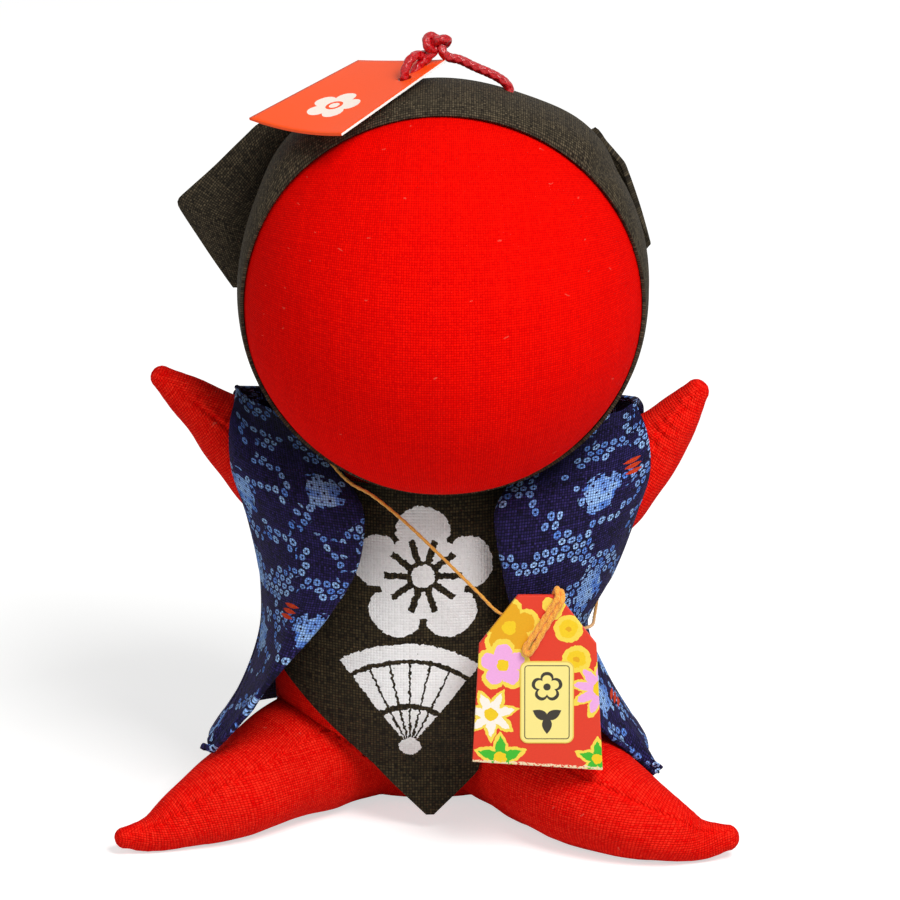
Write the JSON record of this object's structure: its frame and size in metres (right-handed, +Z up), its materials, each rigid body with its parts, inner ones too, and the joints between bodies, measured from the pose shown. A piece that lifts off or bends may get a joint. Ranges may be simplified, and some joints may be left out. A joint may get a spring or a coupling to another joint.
{
  "type": "seated cloth charm doll",
  "caption": "Seated stuffed cloth doll with a blank round face, hood, sleeveless coat and pointed apron; a paper amulet swings on a neck thread and a card tag hangs on a knotted top cord.",
  "frame": {"origin": "on the ground, under the middle of the seated doll's outline, without its hang cord and tag", "axes": "+Z up, the face looks along -Y, +X towards the doll's left hand"},
  "size_m": [0.0942, 0.0636, 0.1261],
  "materials": {
    "red_cotton": "plain woven cotton, matte",
    "wadding": "cotton wadding",
    "black_cotton": "plain woven cotton, matte, slightly faded",
    "printed_apron": "plain woven cotton with a white print",
    "indigo_cotton": "woven cotton with small light blue rings",
    "gold_thread": "fine twisted thread",
    "orange_thread": "thick soft twisted thread",
    "patterned_paper": "folded printed paper with flowers",
    "label_paper": "printed label with a gold rim",
    "braided_cord": "shiny braided cord",
    "tag_card": "smooth dyed card"
  },
  "bodies": {
    "doll": {"face_cloth": "red_cotton", "torso_cloth": "red_cotton", "left_leg_cloth": "red_cotton", "right_leg_cloth": "red_cotton", "left_arm_cloth": "red_cotton", "right_arm_cloth": "red_cotton", "head_filling": "wadding", "torso_filling": "wadding", "left_leg_filling": "wadding", "right_leg_filling": "wadding", "left_arm_filling": "wadding", "right_arm_filling": "wadding", "hood": "black_cotton", "hood_corner_left": "black_cotton", "hood_corner_right": "black_cotton", "apron": "printed_apron", "coat_left_front": "indigo_cotton", "coat_right_front": "indigo_cotton", "coat_back": "indigo_cotton", "neck_thread": "gold_thread", "hang_knot": "braided_cord", "hang_cord_exit": "braided_cord", "hang_cord_tag": "braided_cord"},
    "amulet": {"amulet_card": "patterned_paper", "amulet_label": "label_paper", "amulet_loop": "orange_thread"},
    "tag": {"tag": "tag_card"}
  },
  "joints": [
    {"name": "amulet_swing", "type": "hinge", "parent": "doll", "child": "amulet", "pos_m": [0.01665, -0.01275, 0.0414], "axis": [-1, 0, 0], "range_deg": [0, 60]},
    {"name": "tag_lift", "type": "hinge", "parent": "doll", "child": "tag", "pos_m": [-0.00332, 0.00119, 0.1202], "axis": [-0.7251, 0.6631, -0.186], "range_deg": [0, 25]}
  ]
}
